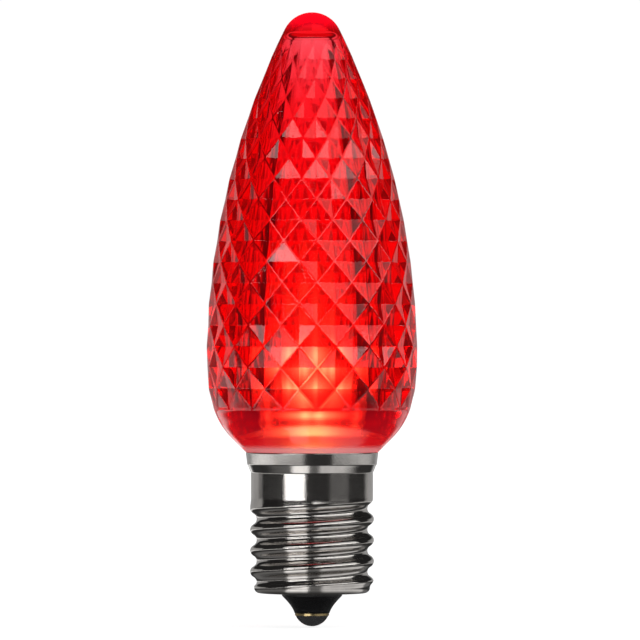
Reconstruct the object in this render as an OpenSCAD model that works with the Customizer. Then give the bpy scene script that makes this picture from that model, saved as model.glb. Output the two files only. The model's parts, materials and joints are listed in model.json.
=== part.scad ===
// Faceted night-light bulb on an intermediate screw cap, standing on its centre contact.
// Millimetres. The origin is the lowest point of the centre contact and +Z runs up the axis.
// The front of the bulb looks along -Y.

/* [Lens outline] */
// Widest diameter of the moulded lens
lens_d = 28.4; // [26:0.1:31]
// Height of the lens above the metal rim
lens_h = 59; // [55:0.5:64]
// Height of the widest level above the metal rim
belly_h = 12; // [11:0.5:14]
// Radius of the round nose
nose_r = 4.1; // [3.4:0.1:5]
// Radius just below the widest level, over the radius of one arc from there to the rim
belly_flatness = 1.23; // [1.15:0.01:1.4]
// Radius of the bowl that runs down to the neck
bowl_r = 10; // [8:0.5:12]
// Length of the straight cone between the bowl and the rim
cone_l = 2.6; // [1.5:0.1:3.5]

/* [Lens facets] */
// Facet columns round the lens
facet_columns = 18; // [12:1:20]
// Rows of facets, counted at their level creases
facet_rows = 17; // [9:1:17]
// Height of the lowest facet points above the rim
facet_start_h = 5.8; // [4.5:0.1:7]
// Half the height of a facet, measured along the surface
facet_half_h = 2.83; // [2.2:0.01:2.9]
// Height of the short upper half of the top facets, measured along the surface
facet_tip_h = 2.2; // [1.6:0.1:2.6]
// Depth of a facet's hollow on the widest level
facet_depth = 0.5; // [0.2:0.05:0.8]
// Turn of the facet pattern about the axis, in degrees
facet_turn = 3; // [0:1:20]

/* [Lens core] */
// Wall of the lens at its neck
neck_wall = 1; // [0.8:0.1:1.4]
// Distance from the top of the hollow core to the nose
core_cover = 3.4; // [2.6:0.1:5]
// Diameter of the flat top of the core
core_top_d = 3.2; // [2.4:0.1:4]
// Radius of the rounded edge round the flat top of the core
core_edge_r = 0.8; // [0.4:0.1:1.1]
// Play between the neck and the metal rim, on each side
neck_play = 0.1; // [0.05:0.01:0.15]

/* [Screw cap] */
// Height of the drawn metal shell
shell_h = 18.95; // [18.5:0.05:20.5]
// Thickness of the shell's metal
shell_wall = 0.3; // [0.2:0.01:0.35]
// Diameter of the rim that holds the lens
rim_d = 17.8; // [17.6:0.1:18.6]
// Height of the straight part of the rim
rim_h = 1.9; // [1.7:0.1:2.4]
// Height of the sloping shoulder under the rim
shoulder_h = 0.8; // [0.7:0.1:1]
// Diameter of the plain skirt above the thread
skirt_d = 16.4; // [16.3:0.05:16.7]
// Diameter over the thread's crests
thread_d = 16.64; // [16.5:0.01:16.8]
// Diameter at the bottom of the thread's groove
thread_root_d = 14.9; // [14.7:0.05:15.3]
// Height that the thread climbs in one turn
thread_pitch = 2.822; // [2.7:0.001:2.95]
// Height of the groove's upper end above the shell's bottom, on the +X side
thread_top_h = 11.35; // [11:0.05:11.6]
// Turn past the +X side after which the groove starts to run out, in degrees
thread_full_turn = 15; // [0:5:60]
// Turn over which the groove runs out into the skirt, in degrees
thread_runout = 100; // [60:5:120]
// Diameter of the shell where it turns in at the bottom
foot_d = 15.6; // [15.2:0.05:16]
// Radius of the turned-in corner at the bottom
foot_corner_r = 0.8; // [0.6:0.05:1]
// Width of the small bevel on the rim's two outer edges
rim_bevel = 0.15; // [0.05:0.01:0.25]

/* [Insulator and contact] */
// Height of the glass below the shell
glass_drop = 2.7; // [2.4:0.1:3.2]
// Diameter of the glass where it leaves the shell
glass_d = 8.1; // [7.8:0.1:8.6]
// Diameter of the glass round the contact
glass_tip_d = 4.8; // [4.6:0.1:5.2]
// Height of the straight band of glass under the shell
glass_band_h = 0.45; // [0.3:0.05:0.7]
// Diameter of the hole in the shell's bottom, which the glass fills
glass_hole_d = 7.5; // [7:0.1:7.6]
// Width of the glass that grips the shell from inside
glass_grip = 0.85; // [0.6:0.05:0.95]
// Height of the glass above the shell's bottom plate
glass_inner_h = 0.85; // [0.7:0.05:1.1]
// Diameter of the contact's flange
contact_d = 4.6; // [4.3:0.05:4.6]
// Thickness of the contact's metal
contact_t = 0.3; // [0.2:0.05:0.4]
// Bore of the contact's tube
contact_bore_d = 1.1; // [0.9:0.05:1.3]
// Diameter of the flared upper end of the contact's tube
contact_flare_d = 3; // [2.6:0.1:3.4]
// Diameter of the solder dome under the contact
solder_d = 4.4; // [4:0.1:4.4]
// Height of the solder dome
solder_h = 1.45; // [1.2:0.05:1.7]

/* [Boards] */
// Thickness of both circuit boards
board_t = 1; // [0.8:0.1:1.2]
// Play round a board in its seat
board_play = 0.1; // [0.05:0.01:0.15]
// Play between the board holder and the shell or the lens
holder_play = 0.15; // [0.08:0.01:0.2]
// Wall of the board holder
holder_wall = 1.15; // [1:0.05:1.4]
// Wall of the holder's collar round the light board
collar_wall = 0.5; // [0.4:0.05:0.6]
// Height of the board holder below the neck
holder_h = 3.3; // [3:0.1:3.6]
// Height of the light board's seat above the neck's lower end
led_seat_h = 0.6; // [0.4:0.1:1]
// Width of the ledge that the light board rests on
led_ledge = 0.7; // [0.5:0.05:0.8]
// Height of the driver board's lower edge above the shell's bottom plate
driver_lift = 2.3; // [1.9:0.1:2.6]
// Gap between the driver board and the light board
board_gap = 0.4; // [0.3:0.05:0.6]
// Height of the driver board's slots above the holder's lower edge
slot_lift = 0.5; // [0.4:0.05:0.8]
// Wall of the holder outside the driver board's slots
slot_wall = 0.45; // [0.4:0.05:0.6]
// Height of the adhesive's bead round the end of the neck, on the bore of the skirt
bead_drop = 0.25; // [0.2:0.05:0.3]

/* [Parts on the boards] */
// Length of a light housing
led_l = 2.2; // [2:0.1:2.3]
// Width of a light housing
led_w = 1.8; // [1.7:0.1:1.9]
// Height of a light housing
led_h = 2.6; // [2.3:0.1:2.8]
// Diameter of a light housing's cup at its rim
led_cup_d = 1.4; // [1.2:0.1:1.5]
// Diameter of a light housing's cup at its floor
led_cup_floor_d = 1; // [0.8:0.1:1.1]
// Depth of a light housing's cup
led_cup_h = 0.9; // [0.7:0.1:1.2]
// Height of the resin's dome over a light housing
led_dome_h = 0.5; // [0.3:0.05:0.6]
// Least gap between two light housings
led_gap = 0.2; // [0.1:0.05:0.4]
// Diameter of the fusing resistor on the axis
fuse_d = 2.3; // [2:0.1:2.5]
// Length of the fusing resistor
fuse_l = 6.3; // [5.5:0.1:7]
// Height of the fusing resistor above the driver board's lower edge
fuse_lift = 1.6; // [1.4:0.1:1.8]
// Diameter of the round wires
wire_d = 0.6; // [0.5:0.05:0.7]
// Length of a lead above its part, before it turns to the board
lead_rise = 1; // [0.8:0.1:1.1]
// Gap between the driver board and the round parts on its front
part_gap = 0.05; // [0.02:0.01:0.08]
// Diameter of the smoothing capacitor
capacitor_d = 5; // [4.5:0.1:5.2]
// Length of the smoothing capacitor
capacitor_l = 8.5; // [7:0.1:9]
// Height of the capacitor's closed end
capacitor_end_h = 0.3; // [0.2:0.05:0.4]
// Height of the smoothing capacitor above the driver board's lower edge
capacitor_lift = 0.6; // [0.5:0.1:1]
// Gap between the smoothing capacitor and the fusing resistor
capacitor_gap = 0.2; // [0.1:0.05:0.3]
// Length of the bridge rectifier's body
rectifier_l = 4.7; // [4.3:0.1:5]
// Width of the bridge rectifier's body
rectifier_w = 3.9; // [3.6:0.1:4.1]
// Thickness of the bridge rectifier's body
rectifier_t = 2.5; // [2.2:0.1:2.7]
// Height of the bridge rectifier's body above the driver board's lower edge
rectifier_lift = 6.4; // [6.2:0.1:6.8]
// Width of a rectifier's foot
rectifier_foot_w = 0.6; // [0.5:0.05:0.8]
// Thickness of a rectifier's foot
rectifier_foot_t = 0.25; // [0.2:0.05:0.3]
// Length of a rectifier's foot outside the body
rectifier_foot_l = 1; // [0.8:0.1:1.1]
// Length of a limiting resistor
chip_l = 3.2; // [3:0.1:3.4]
// Width of a limiting resistor
chip_w = 1.6; // [1.4:0.1:1.8]
// Thickness of a limiting resistor
chip_t = 0.6; // [0.5:0.05:0.7]
// Height of a limiting resistor above the driver board's lower edge
chip_lift = 1.7; // [1.5:0.1:1.9]
// Distance between the axis and a limiting resistor's middle line
chip_x = 2.6; // [2.3:0.1:2.9]
// Distance between the axis and a board link
link_x = 4.6; // [4.4:0.1:4.8]
// Length of a board link below the driver board's upper edge
link_drop = 1.6; // [1.3:0.1:2]
// Length of a board link above the light board
link_tip = 0.5; // [0.3:0.1:0.6]
// Length of the shell's lead above the driver board's lower edge
shell_lead_rise = 3.2; // [2.8:0.1:3.6]
// Radius of the shell's solder joint
joint_r = 0.85; // [0.75:0.05:0.95]
// Height of the shell's solder joint
joint_h = 0.8; // [0.6:0.05:1]
// Gap between the shell's solder joint and the glass
joint_gap = 0.1; // [0.05:0.01:0.15]
// Cut across the corner of a light housing that marks its polarity
led_mark = 0.4; // [0.3:0.05:0.45]

/* [Hidden] */

// Segments of exact round shapes
$fn = 96;
// How far one exact body reaches into another so that they join
lap = 0.03;
// Clearance of a filling in its cup and of solder round a wire
fill_play = 0.02;

// Heights of the cap, from the contact's lowest point
contact_z = solder_h;
glass_z = contact_z + contact_t;
shell_z = glass_z + glass_drop;
plate_z = shell_z + shell_wall;
rim_top_z = shell_z + shell_h;
shoulder_top_z = rim_top_z - rim_h;
shoulder_z = shoulder_top_z - shoulder_h;

// Radii of the cap
rim_bore_r = rim_d / 2 - shell_wall;
skirt_bore_r = skirt_d / 2 - shell_wall;
thread_bore_r = thread_root_d / 2 - shell_wall;
// Rise that keeps the metal's thickness even across the sloping shoulder
shoulder_rise = shell_wall * 0.41;

// Lens outline: a nose, a long flank, a belly, a bowl and a short cone, each tangent to the next
rim_r = rim_d / 2;
top_z = rim_top_z + lens_h;
belly_z = rim_top_z + belly_h;
nose_z = top_z - nose_r;
flank_rise = nose_z - belly_z;
flank_r = (pow(flank_rise, 2) + pow(lens_d / 2, 2) - pow(nose_r, 2)) / (lens_d - 2 * nose_r);
flank_x = lens_d / 2 - flank_r;
nose_lean = atan2(flank_rise, -flank_x);
belly_out = lens_d / 2 - rim_r;
one_arc_r = (pow(belly_h, 2) + pow(belly_out, 2)) / (2 * belly_out);
belly_r = belly_flatness * one_arc_r;
belly_x = lens_d / 2 - belly_r;
// The bowl's centre, rim and belly's centre form a triangle whose three sides are known
bowl_side = sqrt(pow(cone_l, 2) + pow(bowl_r, 2));
belly_side = belly_r - bowl_r;
rim_side = sqrt(pow(rim_r - belly_x, 2) + pow(belly_h, 2));
rim_corner = acos(
    (pow(rim_side, 2) + pow(bowl_side, 2) - pow(belly_side, 2)) / (2 * rim_side * bowl_side));
bowl_angle = atan2(belly_h, belly_x - rim_r) - rim_corner;
bowl_x = rim_r + bowl_side * cos(bowl_angle);
bowl_z = rim_top_z + bowl_side * sin(bowl_angle);
bowl_lean = atan2(belly_z - bowl_z, bowl_x - belly_x);
// Lean of the cone where it meets the rim
neck_lean = 90 + atan2(bowl_r, cone_l) - bowl_angle;

// Height on the outline where it leans by an angle, which is positive where it closes upwards
function outline_z(lean) =
    lean > nose_lean ? nose_z + nose_r * sin(lean) :
    lean > 0 ? belly_z + flank_r * sin(lean) :
    lean > -bowl_lean ? belly_z + belly_r * sin(lean) :
    bowl_z + bowl_r * sin(lean);

// Lean of the outline at a height
function outline_lean(z) =
    z > outline_z(nose_lean) ? asin(min(1, (z - nose_z) / nose_r)) :
    z > belly_z ? asin((z - belly_z) / flank_r) :
    z > outline_z(-bowl_lean) ? asin((z - belly_z) / belly_r) :
    z > outline_z(-neck_lean) ? asin((z - bowl_z) / bowl_r) :
    -neck_lean;

// Radius of the outline at a height
function outline_r(z) =
    let (lean = outline_lean(z))
    z > outline_z(nose_lean) ? nose_r * cos(lean) :
    z > belly_z ? flank_x + flank_r * cos(lean) :
    z > outline_z(-bowl_lean) ? belly_x + belly_r * cos(lean) :
    z > outline_z(-neck_lean) ? bowl_x + bowl_r * cos(lean) :
    rim_r + (z - rim_top_z) * tan(neck_lean);

// Height reached from z by going a distance up along the outline
function climb(z, distance) =
    z + distance * cos(outline_lean(z + distance / 2 * cos(outline_lean(z))));

// Heights of the facet rows: the lowest points, each row of creases, then the highest points
facet_low_z = rim_top_z + facet_start_h;
function facet_row_z(row) = row < 0 ? facet_low_z : climb(facet_row_z(row - 1), facet_half_h);
row_z = [for (row = [0:facet_rows - 1]) facet_row_z(row)];
facet_high_z = climb(row_z[facet_rows - 1], facet_tip_h);

// Angles of the pattern, with a finer ring above and below it
column_step = 360 / facet_columns;
ring_split = 4;
ring_n = facet_columns * ring_split;
front_angle = -90 + facet_turn;
function row_shift(row) = abs(row) % 2 == 0 ? 1 : 0;
function ring_point(r, z, angle) = [r * cos(angle), r * sin(angle), z];
function ring(z, start) =
    [for (i = [0:ring_n - 1]) ring_point(outline_r(z), z, start + i * column_step / ring_split)];
function node_angle(row, column) = front_angle + (column + row_shift(row) / 2) * column_step;

// Smooth rings: the bowl from the rim to the lowest points, and the dome from the highest to the nose
bowl_steps = 4;
dome_steps = 6;
low_lean = outline_lean(facet_low_z);
high_lean = outline_lean(facet_high_z);
bowl_rings = concat([rim_top_z],
    [for (i = [0:bowl_steps]) outline_z(-neck_lean + (neck_lean + low_lean) * i / bowl_steps)]);
dome_rings = [for (i = [0:dome_steps - 1]) outline_z(high_lean + (90 - high_lean) * i / dome_steps)];
dome_angle = front_angle + row_shift(facet_rows) * column_step / 2;

// A facet's deepest point lies square to the outline, in proportion to the facet's width
function pit(row, column) =
    let (z = row_z[row], r = outline_r(z), lean = outline_lean(z), depth = facet_depth * 2 * r / lens_d)
    ring_point(r - depth * cos(lean), z - depth * sin(lean), node_angle(row, column) + column_step / 2);

lens_points = concat(
    [for (z = bowl_rings) each ring(z, front_angle)],
    [for (row = [0:facet_rows - 1]) for (column = [0:facet_columns - 1])
        ring_point(outline_r(row_z[row]), row_z[row], node_angle(row, column))],
    [for (row = [0:facet_rows - 1]) for (column = [0:facet_columns - 1]) pit(row, column)],
    [for (z = dome_rings) each ring(z, dome_angle)],
    [[0, 0, top_z]]
);

// Where each kind of point starts in the list
first_node = len(bowl_rings) * ring_n;
first_pit = first_node + facet_rows * facet_columns;
first_dome = first_pit + facet_rows * facet_columns;
last_point = len(lens_points) - 1;
function bowl_i(level, i) = level * ring_n + (i + ring_n) % ring_n;
function dome_i(level, i) = first_dome + level * ring_n + (i + ring_n) % ring_n;
function wrap(column) = (column + facet_columns) % facet_columns;
function node_i(row, column) =
    row < 0 ? bowl_i(len(bowl_rings) - 1, column * ring_split) :
    row == facet_rows ? dome_i(0, column * ring_split) :
    first_node + row * facet_columns + wrap(column);

// Faces run clockwise seen from outside
function band(lower, upper) = [for (i = [0:ring_n - 1]) each let (n = (i + 1) % ring_n)
    [[lower[i], upper[n], lower[n]], [lower[i], upper[i], upper[n]]]];
function bowl_ring(level) = [for (i = [0:ring_n - 1]) bowl_i(level, i)];
function dome_ring(level) = [for (i = [0:ring_n - 1]) dome_i(level, i)];
function facet(row, column) =
    let (middle = first_pit + row * facet_columns + wrap(column),
        left = node_i(row, column),
        right = node_i(row, column + 1),
        below = node_i(row - 1, column + row_shift(row)),
        above = node_i(row + 1, column + row_shift(row)))
    [[middle, left, above], [middle, above, right], [middle, right, below], [middle, below, left]];
function low_fan(column) = [for (i = [0:ring_split - 1]) let (start = column * ring_split + i)
    [bowl_i(len(bowl_rings) - 1, start), node_i(0, column), bowl_i(len(bowl_rings) - 1, start + 1)]];
function high_fan(column) =
    let (left = column - 1 + row_shift(facet_rows - 1))
    [for (i = [0:ring_split - 1]) let (start = left * ring_split + i)
        [node_i(facet_rows - 1, column), dome_i(0, start), dome_i(0, start + 1)]];

lens_faces = concat(
    [bowl_ring(0)],
    [for (level = [0:len(bowl_rings) - 2]) each band(bowl_ring(level), bowl_ring(level + 1))],
    [for (column = [0:facet_columns - 1]) each low_fan(column)],
    [for (row = [0:facet_rows - 1]) for (column = [0:facet_columns - 1]) each facet(row, column)],
    [for (column = [0:facet_columns - 1]) each high_fan(column)],
    [for (level = [0:dome_steps - 2]) each band(dome_ring(level), dome_ring(level + 1))],
    [for (i = [0:ring_n - 1]) [dome_i(dome_steps - 1, i), last_point, dome_i(dome_steps - 1, i + 1)]]
);

// Neck and hollow core of the lens
neck_r = rim_bore_r - neck_play;
neck_z = shoulder_top_z + shoulder_rise + neck_play;
core_r = neck_r - neck_wall;
core_top_z = top_z - core_cover;
core_top_r = core_top_d / 2 + core_edge_r;
core_rise = core_top_z - belly_z;
core_flank_r = (pow(core_rise, 2) + pow(core_r - core_top_r, 2)) / (2 * (core_r - core_top_r));

// Screw thread: one groove that climbs round the shell and runs out into the skirt
thread_low_z = shell_z + foot_corner_r;
thread_end_turn = thread_full_turn + thread_runout;
thread_high_z = shell_z + thread_top_h + thread_pitch * (0.5 + thread_end_turn / 360);
thread_rows_per_turn = 7;
thread_rows = ceil((thread_high_z - thread_low_z) / thread_pitch * thread_rows_per_turn);
// Height over which the thread fades into the foot of the shell
foot_blend_h = 0.5;
function ease(t) = let (u = min(1, max(0, t))) u * u * (3 - 2 * u);
function groove(angle, z) =
    let (turns = (z - shell_z - thread_top_h) / thread_pitch - angle / 360,
        nearest = round(turns),
        along = angle + 360 * nearest)
    ease((thread_end_turn - along) / thread_runout) * (1 + cos(360 * (turns - nearest))) / 2;
function crest_r(z) =
    let (skirt_blend = ease((z - shell_z - thread_top_h) / (thread_pitch / 2)),
        foot_blend = ease((z - thread_low_z) / (2 * foot_blend_h)),
        upper_r = thread_d / 2 + (skirt_d - thread_d) / 2 * skirt_blend)
    foot_d / 2 + (upper_r - foot_d / 2) * foot_blend;
function thread_r(angle, z) =
    crest_r(z)
    - (crest_r(z) - thread_root_d / 2) * groove(angle, z) * ease((z - thread_low_z) / foot_blend_h);

// The shell's section is a closed loop of stations, each a radius, a height and its share of thread
shell_n = 45;
plate_hole_r = glass_hole_d / 2 / cos(180 / shell_n);
foot_x = foot_d / 2 - foot_corner_r;
foot_z = shell_z + foot_corner_r;
thread_z = [for (row = [0:thread_rows]) thread_low_z + (thread_high_z - thread_low_z) * row / thread_rows];
function corner(radius, angle) = [foot_x + radius * cos(angle), foot_z + radius * sin(angle), 0];
shell_loop = concat(
    [[plate_hole_r, shell_z, 0]],
    [for (angle = [-90:22.5:-22.5]) corner(foot_corner_r, angle)],
    [for (z = thread_z) [0, z, 1]],
    [[skirt_d / 2, shoulder_z, 0],
     [rim_r - rim_bevel, shoulder_top_z - rim_bevel, 0],
     [rim_r, shoulder_top_z + rim_bevel, 0],
     [rim_r, rim_top_z - rim_bevel, 0],
     [rim_r - rim_bevel / 2, rim_top_z, 0],
     [rim_bore_r, rim_top_z, 0],
     [rim_bore_r, shoulder_top_z + shoulder_rise, 0],
     [skirt_bore_r, shoulder_z + shoulder_rise, 0]],
    [for (row = [thread_rows:-1:0]) [-shell_wall, thread_z[row], 1]],
    [for (angle = [-45:-45:-90]) corner(foot_corner_r - shell_wall, angle)],
    [[plate_hole_r, plate_z, 0]]
);
shell_points = [for (station = shell_loop) for (i = [0:shell_n - 1])
    let (angle = 360 * i / shell_n)
    ring_point(station[0] + (station[2] > 0 ? thread_r(angle, station[1]) : 0), station[1], angle)];
function shell_i(station, i) = station % len(shell_loop) * shell_n + i % shell_n;
shell_faces = [for (station = [0:len(shell_loop) - 1]) for (i = [0:shell_n - 1])
    each let (a = shell_i(station, i), b = shell_i(station + 1, i),
        c = shell_i(station + 1, i + 1), d = shell_i(station, i + 1))
    [[a, b, c], [a, c, d]]];

// Insulator and contact
glass_top_z = plate_z + glass_inner_h;
contact_tube_r = contact_bore_d / 2 + contact_t;
solder_r = (pow(solder_h, 2) + pow(solder_d / 2, 2)) / (2 * solder_h);

// Boards and their holder
holder_r = skirt_bore_r - holder_play;
holder_top_z = neck_z - neck_play / 2;
holder_z = holder_top_z - holder_h;
holder_bore_r = holder_r - holder_wall;
collar_r = core_r - holder_play;
led_board_z = neck_z + led_seat_h;
led_top_z = led_board_z + board_t;
led_board_r = collar_r - collar_wall - board_play;
driver_y = fuse_d / 2 + part_gap;
driver_back_y = driver_y + board_t;
driver_z = plate_z + driver_lift;
driver_top_z = led_board_z - board_gap;
tail_r = min(thread_bore_r, holder_bore_r) - 3 * board_play;
driver_half = sqrt(pow(tail_r, 2) - pow(driver_back_y, 2));
slot_z = holder_z + slot_lift;
slot_r = holder_r - slot_wall;
tab_half = sqrt(pow(slot_r - board_play, 2) - pow(driver_back_y, 2)) - board_play;

// Places of the parts on the driver board
fuse_z = driver_z + fuse_lift;
capacitor_x = -(fuse_d + capacitor_d) / 2 - capacitor_gap;
capacitor_y = driver_y - capacitor_d / 2 - part_gap;
capacitor_z = driver_z + capacitor_lift;
rectifier_z = driver_z + rectifier_lift;
chip_z = driver_z + chip_lift;
wire_r = wire_d / 2;
link_y = driver_y - wire_r;
shell_lead_top_z = driver_z + shell_lead_rise;
shell_lead_x = glass_hole_d / 2 + glass_grip + joint_r + joint_gap;
led_angles = [-150, -30, 90];
// The three housings stand round a triangle, a gap apart at its corners
led_ring_r = led_w / 2 + (led_l / 2 + led_gap) / tan(60);

module lens() {
    color([0.84, 0.05, 0.10, 0.8])
    difference() {
        union() {
            polyhedron(points = lens_points, faces = lens_faces, convexity = 8);
            translate([0, 0, neck_z])
                cylinder(r = neck_r, h = rim_top_z - neck_z + neck_wall);
        }
        lens_core();
    }
}

// The space that the core of the mould leaves: straight up to the belly, then closing to a flat top
module lens_core() {
    rotate_extrude()
    union() {
        translate([0, neck_z - 1])
            square([core_r, belly_z - neck_z + 1]);
        intersection() {
            translate([core_r - core_flank_r, belly_z])
                circle(r = core_flank_r, $fn = 1440);
            translate([0, belly_z - lap])
                square([core_r, core_top_z - core_edge_r - belly_z + lap]);
        }
        translate([0, core_top_z - core_edge_r - lap])
            square([core_top_d / 2, core_edge_r + lap]);
        intersection() {
            translate([core_top_d / 2, core_top_z - core_edge_r])
                circle(r = core_edge_r);
            translate([0, core_top_z - core_edge_r - lap])
                square([core_top_r, core_edge_r + lap]);
        }
    }
}

// One piece of drawn metal: rim, shoulder, skirt, rolled thread and turned-in foot
module screw_shell() {
    color([0.72, 0.72, 0.71])
    polyhedron(points = shell_points, faces = shell_faces, convexity = 12);
}

// Black glass, moulded round the edge of the shell's hole and round the contact's tube
module insulator() {
    color([0.04, 0.04, 0.045])
    rotate_extrude()
        polygon([
            [contact_tube_r + fill_play, glass_z],
            [glass_tip_d / 2, glass_z],
            [glass_d / 2, shell_z - glass_band_h],
            [glass_d / 2, shell_z],
            [glass_hole_d / 2, shell_z],
            [glass_hole_d / 2, plate_z],
            [glass_hole_d / 2 + glass_grip, plate_z],
            [glass_hole_d / 2 + glass_grip / 2, glass_top_z],
            [contact_tube_r + fill_play, glass_top_z]
        ]);
}

// Brass eyelet, flanged under the glass and flared over it
module centre_contact() {
    color([0.80, 0.66, 0.36])
    rotate_extrude()
        polygon([
            [contact_bore_d / 2, contact_z],
            [contact_d / 2, contact_z],
            [contact_d / 2, glass_z],
            [contact_tube_r, glass_z],
            [contact_tube_r, glass_top_z],
            [contact_flare_d / 2, glass_top_z],
            [contact_flare_d / 2 - contact_t / 2, glass_top_z + contact_t],
            [contact_bore_d / 2, glass_top_z + contact_t]
        ]);
}

// Solder dome under the flange, run round the end of the resistor's lead
module contact_solder() {
    color([0.78, 0.78, 0.80])
    rotate_extrude()
    difference() {
        intersection() {
            translate([0, solder_r])
                circle(r = solder_r);
            square([solder_r, contact_z]);
        }
        translate([0, contact_z / 2])
            square([wire_r + fill_play, contact_z]);
    }
}

// Bead of adhesive between the end of the neck and the shoulder of the shell
module neck_adhesive() {
    color([0.92, 0.90, 0.84])
    rotate_extrude()
        polygon([
            [skirt_bore_r + neck_play, shoulder_z + shoulder_rise + bead_drop],
            [neck_r, shoulder_top_z + shoulder_rise - neck_play / 4],
            [neck_r, neck_z],
            [skirt_bore_r + neck_play, neck_z]
        ]);
}

// White ring that sits in the skirt, grips the driver board and seats the light board
module board_holder() {
    color([0.93, 0.93, 0.90])
    difference() {
        union() {
            translate([0, 0, holder_z])
                cylinder(r = holder_r, h = holder_h);
            translate([0, 0, holder_z])
                cylinder(r = collar_r, h = led_top_z - holder_z);
        }
        translate([0, 0, holder_z - 1])
            cylinder(r = holder_bore_r - led_ledge, h = led_top_z - holder_z + 2);
        translate([0, 0, holder_z - 1])
            cylinder(r = holder_bore_r, h = holder_h - neck_wall + 1);
        translate([0, 0, led_board_z])
            cylinder(r = led_board_r + board_play, h = board_t + 1);
        intersection() {
            translate([-slot_r, driver_y - board_play / 2, slot_z])
                cube([2 * slot_r, board_t + board_play, led_board_z - slot_z + 1]);
            translate([0, 0, slot_z])
                cylinder(r = slot_r, h = led_board_z - slot_z + 1);
        }
    }
}

// Round board that carries the three lights
module led_board() {
    color([0.95, 0.95, 0.92])
    difference() {
        translate([0, 0, led_board_z])
            cylinder(r = led_board_r, h = board_t);
        for (side = [-1, 1])
            translate([side * link_x, link_y, led_board_z - 1])
                cylinder(r = wire_r + board_play / 2, h = board_t + 2);
    }
}

// Upright board: wide tabs in the holder's slots, and a narrower tail that clears the thread
module driver_board() {
    color([0.10, 0.42, 0.22])
    translate([0, driver_back_y, 0])
    rotate([90, 0, 0])
    linear_extrude(board_t)
    union() {
        translate([-driver_half, driver_z])
            square([2 * driver_half, driver_top_z - driver_z]);
        translate([-tab_half, slot_z + board_play / 2])
            square([2 * tab_half, driver_top_z - slot_z - board_play / 2]);
    }
}

// Fusing resistor on the axis: its lower lead runs down to the contact, its upper one to the board
module fuse_resistor() {
    lead_z = contact_z / 2 + fill_play;
    color([0.24, 0.48, 0.66])
    union() {
        translate([0, 0, fuse_z])
            cylinder(d = fuse_d, h = fuse_l / 4);
        translate([0, 0, fuse_z + fuse_l / 4 - lap])
            cylinder(d = fuse_d * 0.86, h = fuse_l / 2 + 2 * lap);
        translate([0, 0, fuse_z + fuse_l * 3 / 4])
            cylinder(d = fuse_d, h = fuse_l / 4);
        translate([0, 0, lead_z])
            cylinder(d = wire_d, h = fuse_z - lead_z + lap);
        translate([0, 0, fuse_z + fuse_l - lap])
            cylinder(d = wire_d, h = lead_rise + lap);
        translate([0, 0, fuse_z + fuse_l + lead_rise])
            rotate([-90, 0, 0])
                cylinder(d = wire_d, h = driver_y - fill_play);
        translate([0, 0, fuse_z + fuse_l + lead_rise])
            sphere(d = wire_d);
    }
}

// Electrolytic capacitor with both leads turned to the board
module smoothing_capacitor() {
    color([0.16, 0.18, 0.30])
    translate([capacitor_x, capacitor_y, capacitor_z])
    union() {
        cylinder(d = capacitor_d, h = capacitor_l);
        translate([0, 0, capacitor_l - lap])
            cylinder(d = capacitor_d * 0.8, h = capacitor_end_h + lap);
        for (side = [-1, 1])
            translate([side * capacitor_d / 5, 0, 0]) {
                translate([0, 0, capacitor_l])
                    cylinder(d = wire_d, h = lead_rise);
                translate([0, 0, capacitor_l + lead_rise])
                    sphere(d = wire_d);
                translate([0, 0, capacitor_l + lead_rise])
                    rotate([-90, 0, 0])
                        cylinder(d = wire_d, h = driver_y - capacitor_y - fill_play);
            }
    }
}

// Bridge rectifier flat on the back of the driver board, with four feet
module bridge_rectifier() {
    color([0.11, 0.11, 0.12])
    translate([-rectifier_l / 2, driver_back_y, rectifier_z])
    union() {
        translate([0, rectifier_foot_t / 2, 0])
            cube([rectifier_l, rectifier_t, rectifier_w]);
        for (x = [rectifier_l * 0.18, rectifier_l * 0.82])
            for (z = [-rectifier_foot_l, rectifier_w - lap])
                translate([x - rectifier_foot_w / 2, 0, z])
                    cube([rectifier_foot_w, rectifier_foot_t, rectifier_foot_l + lap]);
    }
}

// Flat limiting resistor on the back of the driver board
module limit_resistor(side) {
    color([0.08, 0.08, 0.09])
    translate([side * chip_x - chip_w / 2, driver_back_y, chip_z])
        cube([chip_w, chip_t, chip_l]);
}

// Wire from the driver board down to the shell's bottom plate
module shell_lead() {
    color([0.80, 0.80, 0.78])
    translate([shell_lead_x, link_y - fill_play, plate_z + fill_play])
        cylinder(d = wire_d, h = shell_lead_top_z - plate_z - fill_play);
}

// Solder joint that holds that wire on the plate
module shell_solder() {
    color([0.74, 0.74, 0.76])
    translate([shell_lead_x, link_y - fill_play, plate_z])
    rotate_extrude()
        polygon([
            [wire_r + fill_play, 0],
            [joint_r, 0],
            [joint_r * 0.62, joint_h * 0.45],
            [wire_r + 2 * fill_play, joint_h],
            [wire_r + fill_play, joint_h]
        ]);
}

// Pin that joins the two boards
module board_link(side) {
    link_z = driver_top_z - link_drop;
    color([0.82, 0.72, 0.40])
    translate([side * link_x, link_y - fill_play, link_z])
        cylinder(d = wire_d, h = led_top_z + link_tip - link_z);
}

// Places its children on one light's seat, with the long side across the radius
module at_light(index) {
    rotate([0, 0, led_angles[index] + 90])
    translate([0, -led_ring_r, led_top_z])
        children();
}

// White housing of one light, with a round cup and one cut corner that marks its polarity
module led_housing(index) {
    color([0.96, 0.95, 0.90])
    at_light(index)
    difference() {
        translate([-led_l / 2, -led_w / 2, 0])
            cube([led_l, led_w, led_h]);
        translate([0, 0, led_h - led_cup_h])
            cylinder(d1 = led_cup_floor_d, d2 = led_cup_d, h = led_cup_h);
        translate([0, 0, led_h - lap])
            cylinder(d = led_cup_d, h = 1);
        translate([led_l / 2, -led_w / 2, -1])
            rotate([0, 0, 45])
                cube([led_mark, led_mark, 3 * led_h], center = true);
    }
}

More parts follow.
